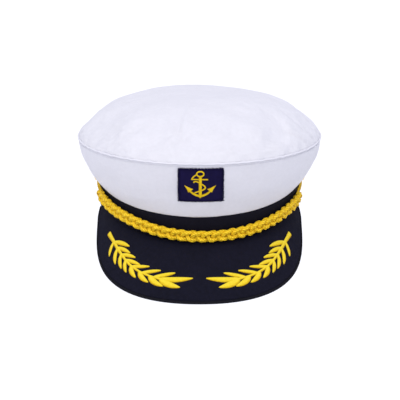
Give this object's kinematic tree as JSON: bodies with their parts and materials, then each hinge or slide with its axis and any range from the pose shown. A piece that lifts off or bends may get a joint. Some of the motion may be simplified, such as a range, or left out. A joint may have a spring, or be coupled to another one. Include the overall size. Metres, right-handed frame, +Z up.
{
  "type": "peaked cap",
  "caption": "Peaked cap with a soft flared white crown, black band, navy cloth visor, gold chin cord on side buttons, and embroidered anchor patch and laurel sprigs.",
  "frame": {"origin": "centre of the head opening, in the plane of the band's lower edge", "axes": "+Z up out of the crown, -Y towards the visor, +X to the wearer's left"},
  "size_m": [0.2134, 0.2712, 0.1316],
  "materials": {
    "crown_cloth": "soft white cotton twill",
    "piping_cloth": "white cotton twill piping",
    "band_cloth": "matt black cloth",
    "visor_cloth": "navy cotton twill",
    "visor_lining": "matt black cloth",
    "lining_cloth": "thin white lining cloth",
    "board": "grey stiffening board",
    "hoop_plastic": "stiff white plastic strip",
    "steel": "bright steel strip",
    "sweat_leather": "black imitation leather",
    "label_cloth": "plain woven label, blank",
    "patch_cloth": "dark navy felt with a stitched edge",
    "gold_thread": "gold embroidery thread",
    "gold_braid": "plaited gold cord",
    "button_brass": "polished gilt",
    "eyelet_brass": "plain brass"
  },
  "bodies": {
    "cap": {"crown_top_panel": "crown_cloth", "crown_front_panel": "crown_cloth", "crown_back_panel": "crown_cloth", "crown_piping": "piping_cloth", "crown_hoop": "hoop_plastic", "hoop_sleeve": "steel", "front_stay": "board", "lining_top": "lining_cloth", "lining_side_front": "lining_cloth", "lining_side_back": "lining_cloth", "cap_band": "band_cloth", "band_stiffener": "board", "sweatband_reed": "board", "sweatband": "sweat_leather", "size_label": "label_cloth", "visor_top_cover": "visor_cloth", "visor_core": "board", "visor_under_cover": "visor_lining", "visor_edge_binding": "visor_lining", "badge_patch": "patch_cloth", "badge_anchor": "gold_thread", "badge_rope": "gold_thread", "laurel_sprig_left": "gold_thread", "laurel_sprig_right": "gold_thread", "eyelet_left": "eyelet_brass", "eyelet_right": "eyelet_brass"},
    "chin_cord": {"chin_cord": "gold_braid", "cord_wrap_left": "gold_braid", "cord_wrap_right": "gold_braid", "cord_loop_left": "gold_braid", "cord_loop_right": "gold_braid"},
    "button_left": {"button_back_left": "button_brass", "button_shell_left": "button_brass", "button_prong_left": "steel"},
    "button_right": {"button_back_right": "button_brass", "button_shell_right": "button_brass", "button_prong_right": "steel"}
  },
  "joints": [
    {"name": "chin_cord_lift", "type": "hinge", "parent": "cap", "child": "chin_cord", "pos_m": [0, 0.011, 0.017], "axis": [-1, 0, 0], "range_deg": [-1, 4]},
    {"name": "button_left_spin", "type": "hinge", "parent": "cap", "child": "button_left", "pos_m": [0.09, 0.011, 0.017], "axis": [1, 0, 0], "continuous": true},
    {"name": "button_right_spin", "type": "hinge", "parent": "cap", "child": "button_right", "pos_m": [-0.09, 0.011, 0.017], "axis": [-1, 0, 0], "continuous": true}
  ]
}
